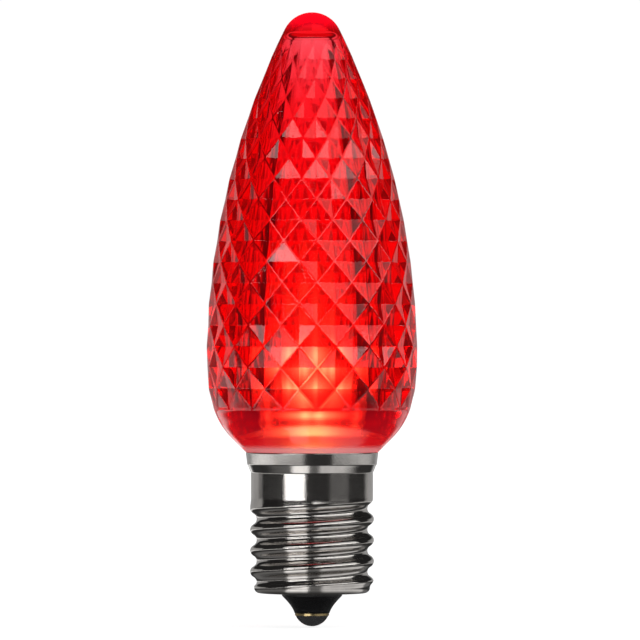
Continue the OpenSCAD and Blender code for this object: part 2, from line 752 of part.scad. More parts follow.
// Clear resin that fills the cup and stands over it in a low dome
module led_encapsulant(index) {
    cup_slope = (led_cup_d - led_cup_floor_d) / led_cup_h;
    fill_r = (led_cup_d - cup_slope * fill_play) / 2 - fill_play;
    fill_h = led_cup_h - fill_play;
    dome_r = (pow(fill_r, 2) + pow(led_dome_h, 2)) / (2 * led_dome_h);
    dome_lean = acos(1 - led_dome_h / dome_r);
    dome_steps = 6;
    color([1, 0.55, 0.45, 0.8])
    at_light(index)
    translate([0, 0, led_h - led_cup_h])
    rotate_extrude()
        polygon(concat(
            [[0, 0], [led_cup_floor_d / 2 - fill_play, 0], [fill_r, fill_h]],
            [for (i = [1:dome_steps - 1])
                let (lean = dome_lean * (1 - i / dome_steps))
                [dome_r * sin(lean), fill_h + led_dome_h - dome_r * (1 - cos(lean))]],
            [[0, fill_h + led_dome_h]]
        ));
}

lens();
screw_shell();
insulator();
centre_contact();
contact_solder();
neck_adhesive();
board_holder();
led_board();
driver_board();
fuse_resistor();
smoothing_capacitor();
bridge_rectifier();
limit_resistor(-1);  // limit_resistor_1
limit_resistor(1);  // limit_resistor_2
shell_lead();
shell_solder();
board_link(-1);  // board_link_1
board_link(1);  // board_link_2
led_housing(0);  // led_housing_1
led_housing(1);  // led_housing_2
led_housing(2);  // led_housing_3
led_encapsulant(0);  // led_encapsulant_1
led_encapsulant(1);  // led_encapsulant_2
led_encapsulant(2);  // led_encapsulant_3
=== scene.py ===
"""Looks of a lit, faceted night-light bulb on a nickel-plated screw cap.

It stands on its centre contact, +Z up and its front towards -Y. Lengths are metres, and MM turns millimetres into
them.
"""

import json
import math

import bmesh
import bpy
from bpy.props import FloatProperty, FloatVectorProperty, IntProperty, PointerProperty
from bpy.types import Operator, Panel, PropertyGroup
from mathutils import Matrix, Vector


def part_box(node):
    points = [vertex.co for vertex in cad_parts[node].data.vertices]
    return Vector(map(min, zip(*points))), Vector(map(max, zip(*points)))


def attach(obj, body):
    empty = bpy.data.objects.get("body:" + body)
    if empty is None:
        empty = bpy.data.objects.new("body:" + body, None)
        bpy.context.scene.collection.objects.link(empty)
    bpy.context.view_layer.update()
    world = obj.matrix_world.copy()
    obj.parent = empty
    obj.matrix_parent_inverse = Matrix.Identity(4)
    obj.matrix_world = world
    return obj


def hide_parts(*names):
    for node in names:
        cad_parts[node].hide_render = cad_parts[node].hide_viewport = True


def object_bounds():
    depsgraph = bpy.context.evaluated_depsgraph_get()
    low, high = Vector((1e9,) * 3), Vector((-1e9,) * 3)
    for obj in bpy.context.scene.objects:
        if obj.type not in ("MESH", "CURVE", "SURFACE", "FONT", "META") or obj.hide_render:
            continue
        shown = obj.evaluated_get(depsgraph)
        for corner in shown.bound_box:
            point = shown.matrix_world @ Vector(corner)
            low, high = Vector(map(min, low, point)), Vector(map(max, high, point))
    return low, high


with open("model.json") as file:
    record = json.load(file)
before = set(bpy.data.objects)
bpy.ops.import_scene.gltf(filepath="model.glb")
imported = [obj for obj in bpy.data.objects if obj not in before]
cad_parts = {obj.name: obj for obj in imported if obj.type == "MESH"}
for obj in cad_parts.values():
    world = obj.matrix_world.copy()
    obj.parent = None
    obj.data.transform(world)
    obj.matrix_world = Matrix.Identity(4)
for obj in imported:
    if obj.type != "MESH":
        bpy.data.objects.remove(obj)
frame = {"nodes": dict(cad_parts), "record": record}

bl_info = {
    "name": "Faceted Screw Bulb",
    "version": (1, 0, 0),
    "blender": (4, 5, 0),
    "location": "3D View > Sidebar > Bulb",
    "description": "Builds a faceted lamp lens, its rolled screw cap and a small photo studio",
    "category": "Add Mesh",
}

MM = 0.001
CAD_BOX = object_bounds()
SHELL_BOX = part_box("screw_shell")
GLASS_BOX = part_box("insulator")
FLANGE_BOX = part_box("centre_contact")

MERGE_DISTANCE = 0.004 * MM    # points closer than this are one point
COLUMN_SPLIT = 6               # edges round the lens for each column of facets
CREASE_WEIGHT = 0.35           # rounding of a crease inside a hollow, against that of a ridge

RED_DYE = (0.987, 0.0, 0.12)   # light that the plastic lets through
DYE_DENSITY = 620.0
# Colour of the painted red glow of the plastic
PAINTED_RED_LIGHT = (1.0, 0.0015, 0.02)
CORE_FROST_TOP = 4.8           # millimetres above the rim, as are all heights on the lens below
NECK_FROST_TOP = 3.9
HAZE_TOP = 1.1
# Painted red glow: stronger below the first height at the bowl, and above the second at the nose
BOWL_PAINTED_GLOW_TOP = 7.5
NOSE_PAINTED_GLOW_FOOT = 56.2
# The painted yellow glow on the core's wall is centred at this height
PAINTED_GLOW_HEIGHT = 10.9           # middle of the yellow light on the core's wall
RING_STEP = 2.25               # from one ring of the bowl to the next
# The core's wall glow is painted light; the resin's glow is the lights' own
RESIN_SHARE = 0.15             # glow of the lights' resin, against that of the core's wall

AIM_HEIGHT = 0.045             # metres, for the lamps and for what follows
BACKDROP_RADIUS = 1.0
BACKDROP_HEIGHT = 0.22
FLOOR_HALF = 3
FLOOR_DROP = 0.0002            # how far the floor lies under the contact
LAMPS = (                      # name, azimuth in degrees, height, distance, width, tall, radiance
    ("key_softbox", -31, 0.28, 0.7, 0.58, 0.14, 2.6),
    ("key_strip", -33, 0.022, 0.7, 0.5, 0.05, 4.6),
    ("fill_softbox", 50, 0.48, 0.7, 1.4, 0.4, 0.8),
    ("side_strip", 50, 0.24, 0.7, 1.5, 0.1, 2.4),
    ("fill_strip", 53, 0.04, 0.7, 0.5, 0.12, 0.16),
)


def length(name, default, description):
    """A property that holds a length, given here in millimetres."""
    return FloatProperty(
        name=name, default=default * MM, min=0, unit="LENGTH", precision=5, description=description)


def angle(name, default, description):
    """A property that holds an angle, given here in degrees."""
    return FloatProperty(name=name, default=math.radians(default), subtype="ANGLE", description=description)


def colour(name, default, description):
    """A property that holds a colour."""
    return FloatVectorProperty(
        name=name, default=default, size=3, min=0, max=1, subtype="COLOR", description=description)


class LensSettings(PropertyGroup):
    """Sizes of the moulded lens."""
    diameter: length("Diameter", 28.4, "Widest diameter of the lens")
    belly_height: length("Belly Height", 12, "Height of the widest level above the metal rim")
    belly_flatness: FloatProperty(
        name="Belly Flatness", default=1.23, min=1.1,
        description="Radius just below the widest level, over that of one arc from there to the rim")
    bowl_radius: length("Bowl Radius", 10, "Radius of the bowl above the neck")
    cone_length: length("Cone Length", 2.6, "Straight cone between the bowl and the rim")
    nose_radius: length("Nose Radius", 4.1, "Radius of the round nose")
    neck_play: length("Neck Play", 0.1, "Play between the neck and the metal rim")
    neck_wall: length("Neck Wall", 1, "Wall of the lens at its neck")
    core_cover: length("Core Cover", 3.4, "Plastic between the top of the core and the nose")
    core_top: length("Core Top", 3.2, "Diameter of the flat top of the core")
    core_edge: length("Core Edge", 0.8, "Radius round the flat top of the core")
    columns: IntProperty(name="Columns", default=18, min=3, description="Facets round the lens")
    rows: IntProperty(name="Rows", default=17, min=1, description="Rows of facets")
    start_height: length("Start Height", 5.8, "Height of the lowest facet points above the rim")
    half_height: length("Half Height", 2.83, "Half the height of a facet, along the surface")
    tip_height: length("Tip Height", 2.2, "Upper half of the top facets, along the surface")
    facet_depth: length("Facet Depth", 0.5, "Depth of a facet's hollow on the widest level")
    turn: angle("Turn", 3, "Turn of the facets about the axis")
    ridge_width: length("Ridge Width", 0.16, "Width of the rounding on each side of a ridge")


class CapSettings(PropertyGroup):
    """Sizes of the screw cap, its glass and its contact."""
    wall: length("Wall", 0.3, "Thickness of the metal")
    rim_diameter: length("Rim Diameter", 17.8, "Diameter of the rim that holds the lens")
    rim_height: length("Rim Height", 1.9, "Straight part of the rim")
    shoulder_height: length("Shoulder Height", 0.8, "Sloping shoulder under the rim")
    skirt_diameter: length("Skirt Diameter", 16.4, "Plain skirt above the thread")
    thread_diameter: length("Thread Diameter", 16.64, "Diameter over the crests")
    root_diameter: length("Root Diameter", 14.9, "Diameter at the bottom of the groove")
    pitch: length("Pitch", 2.822, "Climb of the thread in one turn")
    thread_top: length("Thread Top", 11.35, "Upper end of the groove above the shell's bottom, at +X")
    full_turn: angle("Full Turn", 15, "Turn past +X after which the groove starts to run out")
    runout: angle("Run-out", 100, "Turn over which the groove runs out into the skirt")
    foot_diameter: length("Foot Diameter", 15.6, "Diameter where the shell turns in")
    foot_radius: length("Foot Radius", 0.8, "Radius of the turned-in corner")
    hole_diameter: length("Hole Diameter", 7.5, "Hole in the shell's bottom")
    glass_diameter: length("Glass Diameter", 8.1, "Glass where it leaves the shell")
    glass_tip: length("Glass Tip", 4.8, "Glass round the contact")
    solder_diameter: length("Solder Diameter", 4.4, "Solder dome under the contact")


class FinishSettings(PropertyGroup):
    """Colours of the finishes."""
    nickel: colour("Nickel", (0.63, 0.60, 0.57), "Nickel plate of the screw cap")
    solder: colour("Solder", (0.72, 0.72, 0.74), "Solder on the contact")
    brass: colour("Brass", (0.78, 0.60, 0.30), "Brass of the contact")
    # Colour and strength of the painted yellow glow on the core's wall; the lights' resin glows with them too
    glow: colour("Glow", (0.9, 1.0, 0.25), "Light that the frosted core scatters")
    glow_strength: FloatProperty(name="Glow Strength", default=26, min=0, description="Brightest glow")


class StageSettings(PropertyGroup):
    """Camera and light."""
    distance: length("Camera Distance", 1000, "Distance between the camera and the axis")
    camera_height: length("Camera Height", 41.1, "Height of the camera's axis")
    offset: length("Camera Offset", 1.07, "How far the camera stands to the right of the axis")
    view_width: length("View Width", 85.9, "Width that the picture takes in at the axis")


class Field:
    """One value in a node tree, with arithmetic."""

    def __init__(self, tree, socket):
        self.tree, self.socket = tree, socket

    def math(self, operation, *others):
        """A Math node on this value and others."""
        return self.tree.math(operation, self, *others)

    def __add__(self, other):
        return self.math("ADD", other)

    def __sub__(self, other):
        return self.math("SUBTRACT", other)

    def __mul__(self, other):
        return self.math("MULTIPLY", other)

    def __truediv__(self, other):
        return self.math("DIVIDE", other)

    def __rsub__(self, other):
        return self.tree.math("SUBTRACT", other, self)

    __radd__ = __add__
    __rmul__ = __mul__


class Tree:
    """Adds nodes to a node tree and joins them."""

    def __init__(self, nodes):
        self.nodes = nodes

    def feed(self, socket, value):
        """Links a field or a socket to an input, or sets the input's own value."""
        if isinstance(value, Field):
            value = value.socket
        if isinstance(value, bpy.types.NodeSocket):
            self.nodes.links.new(value, socket)
        else:
            socket.default_value = value

    def add(self, kind, inputs=None, **settings):
        """A node of a kind, with its settings and its inputs by name or number."""
        node = self.nodes.nodes.new(kind)
        for name, value in settings.items():
            setattr(node, name, value)
        for name, value in (inputs or {}).items():
            self.feed(node.inputs[name], value)
        return node

    def field(self, kind, inputs=None, output=0, **settings):
        """One output of a new node, as a field."""
        return Field(self, self.add(kind, inputs, **settings).outputs[output])

    def math(self, operation, *values):
        """The result of a Math node."""
        return self.field("ShaderNodeMath", dict(enumerate(values)), operation=operation)

    def parts(self, vector):
        """The X, Y and Z of a vector."""
        node = self.add("ShaderNodeSeparateXYZ", {0: vector})
        return [Field(self, output) for output in node.outputs]

    def vector(self, x, y, z):
        """A vector made of three values."""
        return self.field("ShaderNodeCombineXYZ", {0: x, 1: y, 2: z})

    def ease(self, value):
        """A smooth step from 0 to 1 as a value goes from 0 to 1."""
        return self.field("ShaderNodeMapRange", {"Value": value}, interpolation_type="SMOOTHSTEP")


class GeometryTree(Tree):
    """A Geometry Nodes tree with named inputs, which ends in Realize Instances and Set Material."""

    def __init__(self, name):
        super().__init__(bpy.data.node_groups.new(name, "GeometryNodeTree"))
        self.source = self.nodes.nodes.new("NodeGroupInput")
        self.identifiers = {}
        self.nodes.interface.new_socket("Geometry", in_out="OUTPUT", socket_type="NodeSocketGeometry")
        self.input("Geometry", "Geometry")

    def input(self, name, kind="Float"):
        """A named input of the tree, as a field."""
        socket = self.nodes.interface.new_socket(name, in_out="INPUT", socket_type="NodeSocket" + kind)
        self.identifiers[name] = socket.identifier
        return Field(self, self.source.outputs[name])

    def finish(self, geometry):
        """Ends the tree."""
        material = self.input("Material", "Material")
        real = self.add("GeometryNodeRealizeInstances", {"Geometry": geometry})
        dressed = self.add("GeometryNodeSetMaterial", {"Geometry": real.outputs[0], "Material": material})
        self.nodes.links.new(dressed.outputs[0], self.nodes.nodes.new("NodeGroupOutput").inputs[0])

    def apply(self, piece, **values):
        """Runs the tree on a piece with these inputs and leaves the result as its plain mesh."""
        modifier = piece.modifiers.new(self.nodes.name, "NODES")
        modifier.node_group = self.nodes
        for name, value in values.items():
            modifier[self.identifiers[name.replace("_", " ")]] = value
        apply_modifiers(piece)
        piece.data.materials.clear()
        piece.data.materials.append(values["Material"])
        for face in piece.data.polygons:
            face.material_index = 0


def new_piece(name, mesh=None):
    """A linked mesh object at the origin."""
    piece = bpy.data.objects.new(name, mesh or bpy.data.meshes.new(name))
    bpy.context.scene.collection.objects.link(piece)
    return piece


def apply_modifiers(piece):
    """Turns a piece with its modifiers into a plain mesh."""
    graph = bpy.context.evaluated_depsgraph_get()
    mesh = bpy.data.meshes.new_from_object(piece.evaluated_get(graph), depsgraph=graph)
    piece.modifiers.clear()
    old = piece.data
    piece.data = mesh
    bpy.data.meshes.remove(old)
    mesh.name = piece.name


def smooth(bm, sharp_from):
    """Shades a mesh smooth, apart from edges that turn by more than an angle in degrees."""
    limit = math.radians(sharp_from)
    for face in bm.faces:
        face.smooth = True
    for edge in bm.edges:
        edge.smooth = len(edge.link_faces) == 2 and edge.calc_face_angle(0) < limit


def revolve(bm, profile, segments, start=0.0, closed=False, layer=None, values=None):
    """Turns a profile of (radius, height) points about Z, and keeps one value a point in a layer."""
    rings = []
    for index, (radius, height) in enumerate(profile):
        count = segments if radius > 1e-7 else 1
        ring = []
        for i in range(count):
            turn = start + i * math.tau / segments
            ring.append(bm.verts.new((radius * math.cos(turn), radius * math.sin(turn), height)))
            if layer:
                ring[-1][layer] = values[index]
        rings.append(ring)
    pairs = list(zip(rings, rings[1:])) + ([(rings[-1], rings[0])] if closed else [])
    for low, high in pairs:
        for i in range(segments):
            j = (i + 1) % segments
            corners = [low[i % len(low)], low[j % len(low)], high[j % len(high)], high[i % len(high)]]
            bm.faces.new(list(dict.fromkeys(corners)))


def arc(centre, radius, start, end, steps, first=0):
    """Points on an arc, by angles in degrees from the X axis."""
    return [
        (centre[0] + radius * math.cos(math.radians(start + (end - start) * i / steps)),
         centre[1] + radius * math.sin(math.radians(start + (end - start) * i / steps)))
        for i in range(first, steps + 1)
    ]


def ease(value):
    """A smooth step from 0 to 1."""
    value = min(1.0, max(0.0, value))
    return value * value * (3 - 2 * value)


def lens_outline(lens, cap):
    """The lens from the rim up: a cone, a bowl, a belly, a flank and a nose, each tangent to the next."""
    step = 0.2 * MM
    rim_r, rim_z = cap.rim_diameter / 2, SHELL_BOX[1].z
    radius, top_z = lens.diameter / 2, CAD_BOX[1].z
    belly_z, nose_z = rim_z + lens.belly_height, top_z - lens.nose_radius
    rise = nose_z - belly_z
    flank_r = (rise ** 2 + radius ** 2 - lens.nose_radius ** 2) / (2 * (radius - lens.nose_radius))
    nose_lean = math.degrees(math.atan2(rise, flank_r - radius))
    belly_out = radius - rim_r
    belly_r = lens.belly_flatness * (lens.belly_height ** 2 + belly_out ** 2) / (2 * belly_out)
    belly = (radius - belly_r, belly_z)
    bowl_side = math.hypot(lens.cone_length, lens.bowl_radius)
    rim_side = math.hypot(rim_r - belly[0], lens.belly_height)
    corner = math.acos(
        (rim_side ** 2 + bowl_side ** 2 - (belly_r - lens.bowl_radius) ** 2) / (2 * rim_side * bowl_side))
    bowl_angle = math.atan2(lens.belly_height, belly[0] - rim_r) - corner
    bowl = (rim_r + bowl_side * math.cos(bowl_angle), rim_z + bowl_side * math.sin(bowl_angle))
    neck_lean = 90 + math.degrees(math.atan2(lens.bowl_radius, lens.cone_length) - bowl_angle)
    bowl_lean = math.degrees(math.atan2(belly_z - bowl[1], bowl[0] - belly[0]))
    points = [(rim_r, rim_z)]
    for centre, size, start, end in (
        (bowl, lens.bowl_radius, -neck_lean, -bowl_lean),
        (belly, belly_r, -bowl_lean, 0),
        ((radius - flank_r, belly_z), flank_r, 0, nose_lean),
        ((0, nose_z), lens.nose_radius, nose_lean, 90),
    ):
        steps = math.ceil(size * math.radians(end - start) / step)
        points += arc(centre, size, start, end, steps, first=1 if size != lens.bowl_radius else 0)
    points[-1] = (0, top_z)
    return points


def length_at(points, height):
    """Distance along an outline from its start to the level of a height."""
    run = 0.0
    for (r0, z0), (r1, z1) in zip(points, points[1:]):
        span = math.hypot(r1 - r0, z1 - z0)
        if z1 >= height:
            return run + span * (height - z0) / (z1 - z0)
        run += span
    return run


def outline_object(points):
    """An open curve with its radius along X, which the lens tree samples."""
    curve = bpy.data.curves.new("lens_outline", "CURVE")
    curve.dimensions = "3D"
    spline = curve.splines.new("POLY")
    spline.points.add(len(points) - 1)
    for point, (radius, height) in zip(spline.points, points):
        point.co = (radius, 0, height, 1)
    piece = bpy.data.objects.new("lens_outline", curve)
    bpy.context.scene.collection.objects.link(piece)
    return piece


def facet_tree():
    """Four-sided hollows laid out on a surface of revolution, with the smooth bowl below and the dome above.

    Every part is first laid out flat, with its column along X, its row along Y and its hollow along Z, and is then
    wrapped round the axis and along the outline.
    """
    tree = GeometryTree("Faceted Lens")
    outline = tree.input("Outline", "Object")
    columns, rows = tree.input("Columns", "Int"), tree.input("Rows", "Int")
    split = tree.input("Column Split", "Int")
    first, total = tree.input("First Length"), tree.input("Whole Length")
    half, tip = tree.input("Half Height"), tree.input("Tip Height")
    depth_share, widest, turn = tree.input("Depth Share"), tree.input("Widest Radius"), tree.input("Turn")
    low_steps, high_steps = tree.input("Bowl Steps", "Int"), tree.input("Dome Steps", "Int")
    curve = tree.field("GeometryNodeObjectInfo", {"Object": outline}, "Geometry")
    last = rows - 1

    def place():
        return tree.parts(tree.field("GeometryNodeInputPosition"))

    def lay(geometry, x, y, z):
        return tree.field("GeometryNodeSetPosition", {"Geometry": geometry, "Position": tree.vector(x, y, z)})

    def wrap(geometry, along):
        x, _, z = place()
        pit = z.math("GREATER_THAN", 0.25)
        kept = tree.field("GeometryNodeStoreNamedAttribute", {"Geometry": geometry, "Name": "pit", "Value": pit})
        sample = tree.add("GeometryNodeSampleCurve", {"Curves": curve, "Length": along}, mode="LENGTH")
        radius, _, height = tree.parts(sample.outputs["Position"])
        lean_x, _, lean_z = tree.parts(sample.outputs["Tangent"])
        depth = pit * depth_share * (radius * widest).math("SQRT")
        around = turn + x * math.tau / columns
        out = radius - depth * lean_z
        return lay(kept, out * around.math("COSINE"), out * around.math("SINE"), height + depth * lean_x)

    def copies(tile, lattice, scale):
        return tree.field("GeometryNodeRealizeInstances", {"Geometry": tree.field(
            "GeometryNodeInstanceOnPoints", {"Points": lattice, "Instance": tile, "Scale": scale})})

    def lattice(row_count, row_of):
        grid = tree.field("GeometryNodeMeshGrid", {"Vertices X": columns, "Vertices Y": row_count})
        index = tree.field("GeometryNodeInputIndex")
        row = row_of(index.math("MODULO", row_count))
        shift = (row + 1).math("FLOORED_MODULO", 2.0) / 2
        return lay(grid, (index / row_count).math("FLOOR") + shift + 0.5, row, 0.0)

    def sheet(steps):
        """A flat grid over all columns, from 0 to 1 along Y."""
        grid = tree.field("GeometryNodeMeshGrid", {
            "Size X": 1.0, "Size Y": 1.0, "Vertices X": columns * split + 1, "Vertices Y": steps + 1})
        x, y, _ = place()
        return lay(grid, (x + 0.5) * columns, y + 0.5, 0.0)

    def gusset(direction):
        """Fills the gap between two neighbouring points, and closes to one node."""
        grid = tree.field("GeometryNodeMeshGrid", {
            "Size X": 1.0, "Size Y": 1.0, "Vertices X": split + 1, "Vertices Y": 2})
        x, y, _ = place()
        return lay(grid, x * (0.5 - y), (y - 0.5) * direction, 0.0)

    pyramid = tree.field(
        "GeometryNodeMeshCone",
        {"Vertices": 4, "Radius Top": 0.0, "Radius Bottom": 1.0, "Depth": 1.0}, fill_type="NONE")
    facets = copies(pyramid, lattice(rows, lambda row: row), (0.5, 1.0, 1.0))
    facet_row = place()[1]
    above_last = (facet_row - last).math("MAXIMUM", 0.0)
    facet_length = first + (facet_row.math("MINIMUM", last) + 1) * half + above_last * tip
    low = copies(gusset(1), lattice(1, lambda row: row), (1.0, 1.0, 1.0))
    low_at = lay(low, place()[0] - 0.5, place()[1], 0.0)
    low_length = first + (place()[1] + 1) * half
    high = copies(gusset(-1), lattice(1, lambda row: row + last), (1.0, 1.0, 1.0))
    high_at = lay(high, place()[0] - 0.5, place()[1], 0.0)
    high_length = first + rows * half + (place()[1] - last) * tip
    facets_end = first + rows * half + tip
    bowl_length = place()[1] * first
    dome_length = facets_end + place()[1] * (total - facets_end)
    joined = tree.add("GeometryNodeJoinGeometry")
    for part in (
        wrap(facets, facet_length), wrap(low_at, low_length), wrap(high_at, high_length),
        wrap(sheet(low_steps), bowl_length), wrap(sheet(high_steps), dome_length),
    ):
        tree.nodes.links.new(part.socket, joined.inputs[0])
    merged = tree.field("GeometryNodeMergeByDistance", {"Geometry": joined.outputs[0], "Distance": MERGE_DISTANCE})
    tree.finish(merged)
    return tree


def core_profile(lens, cap):
    """The neck below the rim and the hollow core, from the rim inwards, down and up to the axis."""
    rim_z, top_z = SHELL_BOX[1].z, CAD_BOX[1].z
    neck_r = cap.rim_diameter / 2 - cap.wall - lens.neck_play
    neck_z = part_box("lens")[0].z
    core_r = neck_r - lens.neck_wall
    belly_z = rim_z + lens.belly_height
    core_top_z = top_z - lens.core_cover
    top_r = lens.core_top / 2 + lens.core_edge
    rise = core_top_z - belly_z
    flank_r = (rise ** 2 + (core_r - top_r) ** 2) / (2 * (core_r - top_r))
    edge_z = core_top_z - lens.core_edge
    lean = math.degrees(math.asin((edge_z - belly_z) / flank_r))
    straight = [(core_r, neck_z + (belly_z - neck_z) * i / 24) for i in range(24)]
    flank = arc((core_r - flank_r, belly_z), flank_r, 0, lean, 60)
    edge = arc((lens.core_top / 2, edge_z), lens.core_edge, 0, 90, 8)
    flat = [(lens.core_top / 2 * (3 - i) / 4, core_top_z) for i in range(3)] + [(0, core_top_z)]
    return [(neck_r, rim_z), (neck_r, neck_z)], straight + flank + edge + flat


def mark_ridges(bm, pit_layer):
    """Gives the ridges between hollows the full bevel weight, and the creases inside a hollow a small one."""
    weight = bm.edges.layers.float.new("bevel_weight_edge")
    for edge in bm.edges:
        in_pit = [vert[pit_layer] > 0.5 for vert in edge.verts]
        beside = any(vert[pit_layer] > 0.5 for face in edge.link_faces for vert in face.verts)
        if any(in_pit):
            edge[weight] = CREASE_WEIGHT
        elif beside:
            edge[weight] = 1.0


class BULB_OT_lens(Operator):
    """Build the faceted lens with its neck and hollow core"""
    bl_idname = "bulb.lens"
    bl_label = "Lens"

    def execute(self, context):
        lens, cap = context.scene.bulb_lens, context.scene.bulb_cap
        points = lens_outline(lens, cap)
        helper = outline_object(points)
        piece = new_piece("faceted_lens")
        red = red_plastic(context.scene.bulb_finish)
        turn = lens.turn - math.pi / 2
        facet_tree().apply(
            piece, Outline=helper, Columns=lens.columns, Rows=lens.rows, Column_Split=COLUMN_SPLIT,
            First_Length=length_at(points, SHELL_BOX[1].z + lens.start_height),
            Whole_Length=length_at(points, CAD_BOX[1].z),
            Half_Height=lens.half_height, Tip_Height=lens.tip_height,
            Depth_Share=lens.facet_depth / (lens.diameter / 2), Widest_Radius=lens.diameter / 2, Turn=turn,
            Bowl_Steps=20, Dome_Steps=14, Material=red)
        bpy.data.objects.remove(helper)
        bm = bmesh.new()
        bm.from_mesh(piece.data)
        pit_layer = bm.verts.layers.float["pit"]
        neck, core = core_profile(lens, cap)
        segments = lens.columns * COLUMN_SPLIT
        rim = (cap.rim_diameter / 2, SHELL_BOX[1].z)
        revolve(bm, [rim] + neck + core[:1], segments, turn)
        core_layer = bm.verts.layers.float.new("core")
        revolve(bm, core, segments, turn, layer=core_layer, values=[1.0] * len(core))
        bmesh.ops.remove_doubles(bm, verts=bm.verts, dist=MERGE_DISTANCE)
        bmesh.ops.recalc_face_normals(bm, faces=bm.faces)
        smooth(bm, 40)
        mark_ridges(bm, pit_layer)
        open_edges = sum(1 for edge in bm.edges if len(edge.link_faces) != 2)
        bm.to_mesh(piece.data)
        bm.free()
        if open_edges:
            raise RuntimeError(f"the lens has {open_edges} open edges")
        bevel = piece.modifiers.new("Rounded Ridges", "BEVEL")
        bevel.limit_method = "WEIGHT"
        bevel.width = lens.ridge_width
        bevel.segments = 3
        bevel.harden_normals = True
        apply_modifiers(piece)
        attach(piece, "root")
        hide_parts("lens")
        return {"FINISHED"}


def thread_tree():
    """Presses one groove into a plain shell: it climbs to the right and runs out after its last full turn.

    Its section is two arcs of one radius, the groove's and the crest's, which meet a quarter of a pitch off.
    """
    tree = GeometryTree("Rolled Thread")
    shell = Field(tree, tree.source.outputs["Geometry"])
    pitch, top = tree.input("Pitch"), tree.input("Top Height")
    end, runout, full = tree.input("End Turn"), tree.input("Run-out"), tree.input("Full Depth")
    depth = tree.field("GeometryNodeInputNamedAttribute", {"Name": "groove_depth"})
    x, y, z = tree.parts(tree.field("GeometryNodeInputPosition"))
    around = y.math("ARCTAN2", x)
    turns = (z - top) / pitch - around / math.tau
    nearest = turns.math("ROUND")
    fade = tree.ease((end - (around + nearest * math.tau)) / runout)
    off = (turns - nearest).math("ABSOLUTE")
    arc_r = (pitch * pitch / 16 + full * full / 4) / full
    slid = off.math("MINIMUM", 0.5 - off) * pitch
    drop = (arc_r - (arc_r * arc_r - slid * slid).math("SQRT")) / full
    in_groove = off.math("LESS_THAN", 0.25)
    pressed = depth * fade * (in_groove - drop * (in_groove * 2 - 1))
    radius = (x * x + y * y).math("SQRT")
    share = (radius - pressed) / radius
    place = tree.vector(x * share, y * share, z)
    tree.finish(tree.field("GeometryNodeSetPosition", {"Geometry": shell, "Position": place}))
    return tree


def shell_profile(cap):
    """The plain shell's closed section: points, and how deep the groove is pressed at each."""
    base, rim_z = SHELL_BOX[0].z, SHELL_BOX[1].z
    wall, rim_r, skirt_r = cap.wall, cap.rim_diameter / 2, cap.skirt_diameter / 2
    crest, root, foot_r = cap.thread_diameter / 2, cap.root_diameter / 2, cap.foot_diameter / 2
    low_z = base + cap.foot_radius
    top_z = base + cap.thread_top
    high_z = top_z + cap.pitch * (0.5 + (cap.full_turn + cap.runout) / math.tau)
    blend, row_height = 0.5 * MM, 0.18 * MM
    inner_corner, outer_corner, lip = 0.25 * MM, 0.35 * MM, 0.15 * MM
    rows = math.ceil((high_z - low_z) / row_height)

    def crest_r(z):
        upper = crest + (skirt_r - crest) * ease((z - top_z) / (cap.pitch / 2))
        return foot_r + (upper - foot_r) * ease((z - low_z) / (2 * blend))

    levels = [low_z + (high_z - low_z) * i / rows for i in range(rows + 1)]
    depths = [(crest_r(z) - root) * ease((z - low_z) / blend) for z in levels]
    foot = (foot_r - cap.foot_radius, low_z)
    shoulder_z = rim_z - cap.rim_height
    skirt_z = shoulder_z - cap.shoulder_height
    rise = wall * 0.41
    hole_r = cap.hole_diameter / 2
    firm = 0.06 * MM          # a loop this close to a corner keeps the plain part beside it straight
    corner_z = skirt_z - 0.1 * MM
    taper = 0.18 * MM         # the rim is narrower at its foot by this
    plain_outside = [
        (skirt_r, corner_z - 3 * firm), (skirt_r, corner_z - firm),
        *arc((skirt_r + inner_corner, corner_z), inner_corner, 180, 130, 4),
        *arc((rim_r - taper - outer_corner, shoulder_z + outer_corner), outer_corner, -50, 0, 5),
        (rim_r - 0.17 * MM, shoulder_z + outer_corner + firm), (rim_r - 0.01 * MM, rim_z - lip - firm),
        *arc((rim_r - lip, rim_z - lip), lip, 0, 90, 4),
    ]
    plain_inside = [
        (rim_r - wall, rim_z - 0.05 * MM), (rim_r - wall, shoulder_z + rise), (skirt_r - wall, skirt_z + rise)]
    points = [(hole_r, base)]
    points += arc(foot, cap.foot_radius, -90, 0, 8)[:-1]
    outer = [(crest_r(z), z) for z in levels]
    inner = [(crest_r(z) - wall, z) for z in reversed(levels)]
    tail = arc(foot, cap.foot_radius - wall, -22.5, -90, 3) + [(hole_r, base + wall)]
    profile = points + outer + plain_outside + plain_inside + inner + tail
    pressed = (
        [0.0] * len(points) + depths + [0.0] * (len(plain_outside) + len(plain_inside))
        + depths[::-1] + [0.0] * len(tail))
    return profile, pressed


class BULB_OT_shell(Operator):
    """Build the nickel-plated screw shell and roll its thread"""
    bl_idname = "bulb.shell"
    bl_label = "Screw Shell"

    def execute(self, context):
        cap = context.scene.bulb_cap
        bm = bmesh.new()
        layer = bm.verts.layers.float.new("groove_depth")
        profile, pressed = shell_profile(cap)
        revolve(bm, profile, 240, closed=True, layer=layer, values=pressed)
        bmesh.ops.recalc_face_normals(bm, faces=bm.faces)
        smooth(bm, 45)
        piece = new_piece("rolled_shell")
        bm.to_mesh(piece.data)
        bm.free()
        thread_tree().apply(
            piece, Pitch=cap.pitch, Top_Height=SHELL_BOX[0].z + cap.thread_top,
            End_Turn=cap.full_turn + cap.runout, **{"Run-out": cap.runout},
            Full_Depth=(cap.thread_diameter - cap.root_diameter) / 2,
            Material=nickel_plate(context.scene.bulb_finish))
        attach(piece, "root")
        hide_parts("screw_shell")
        return {"FINISHED"}


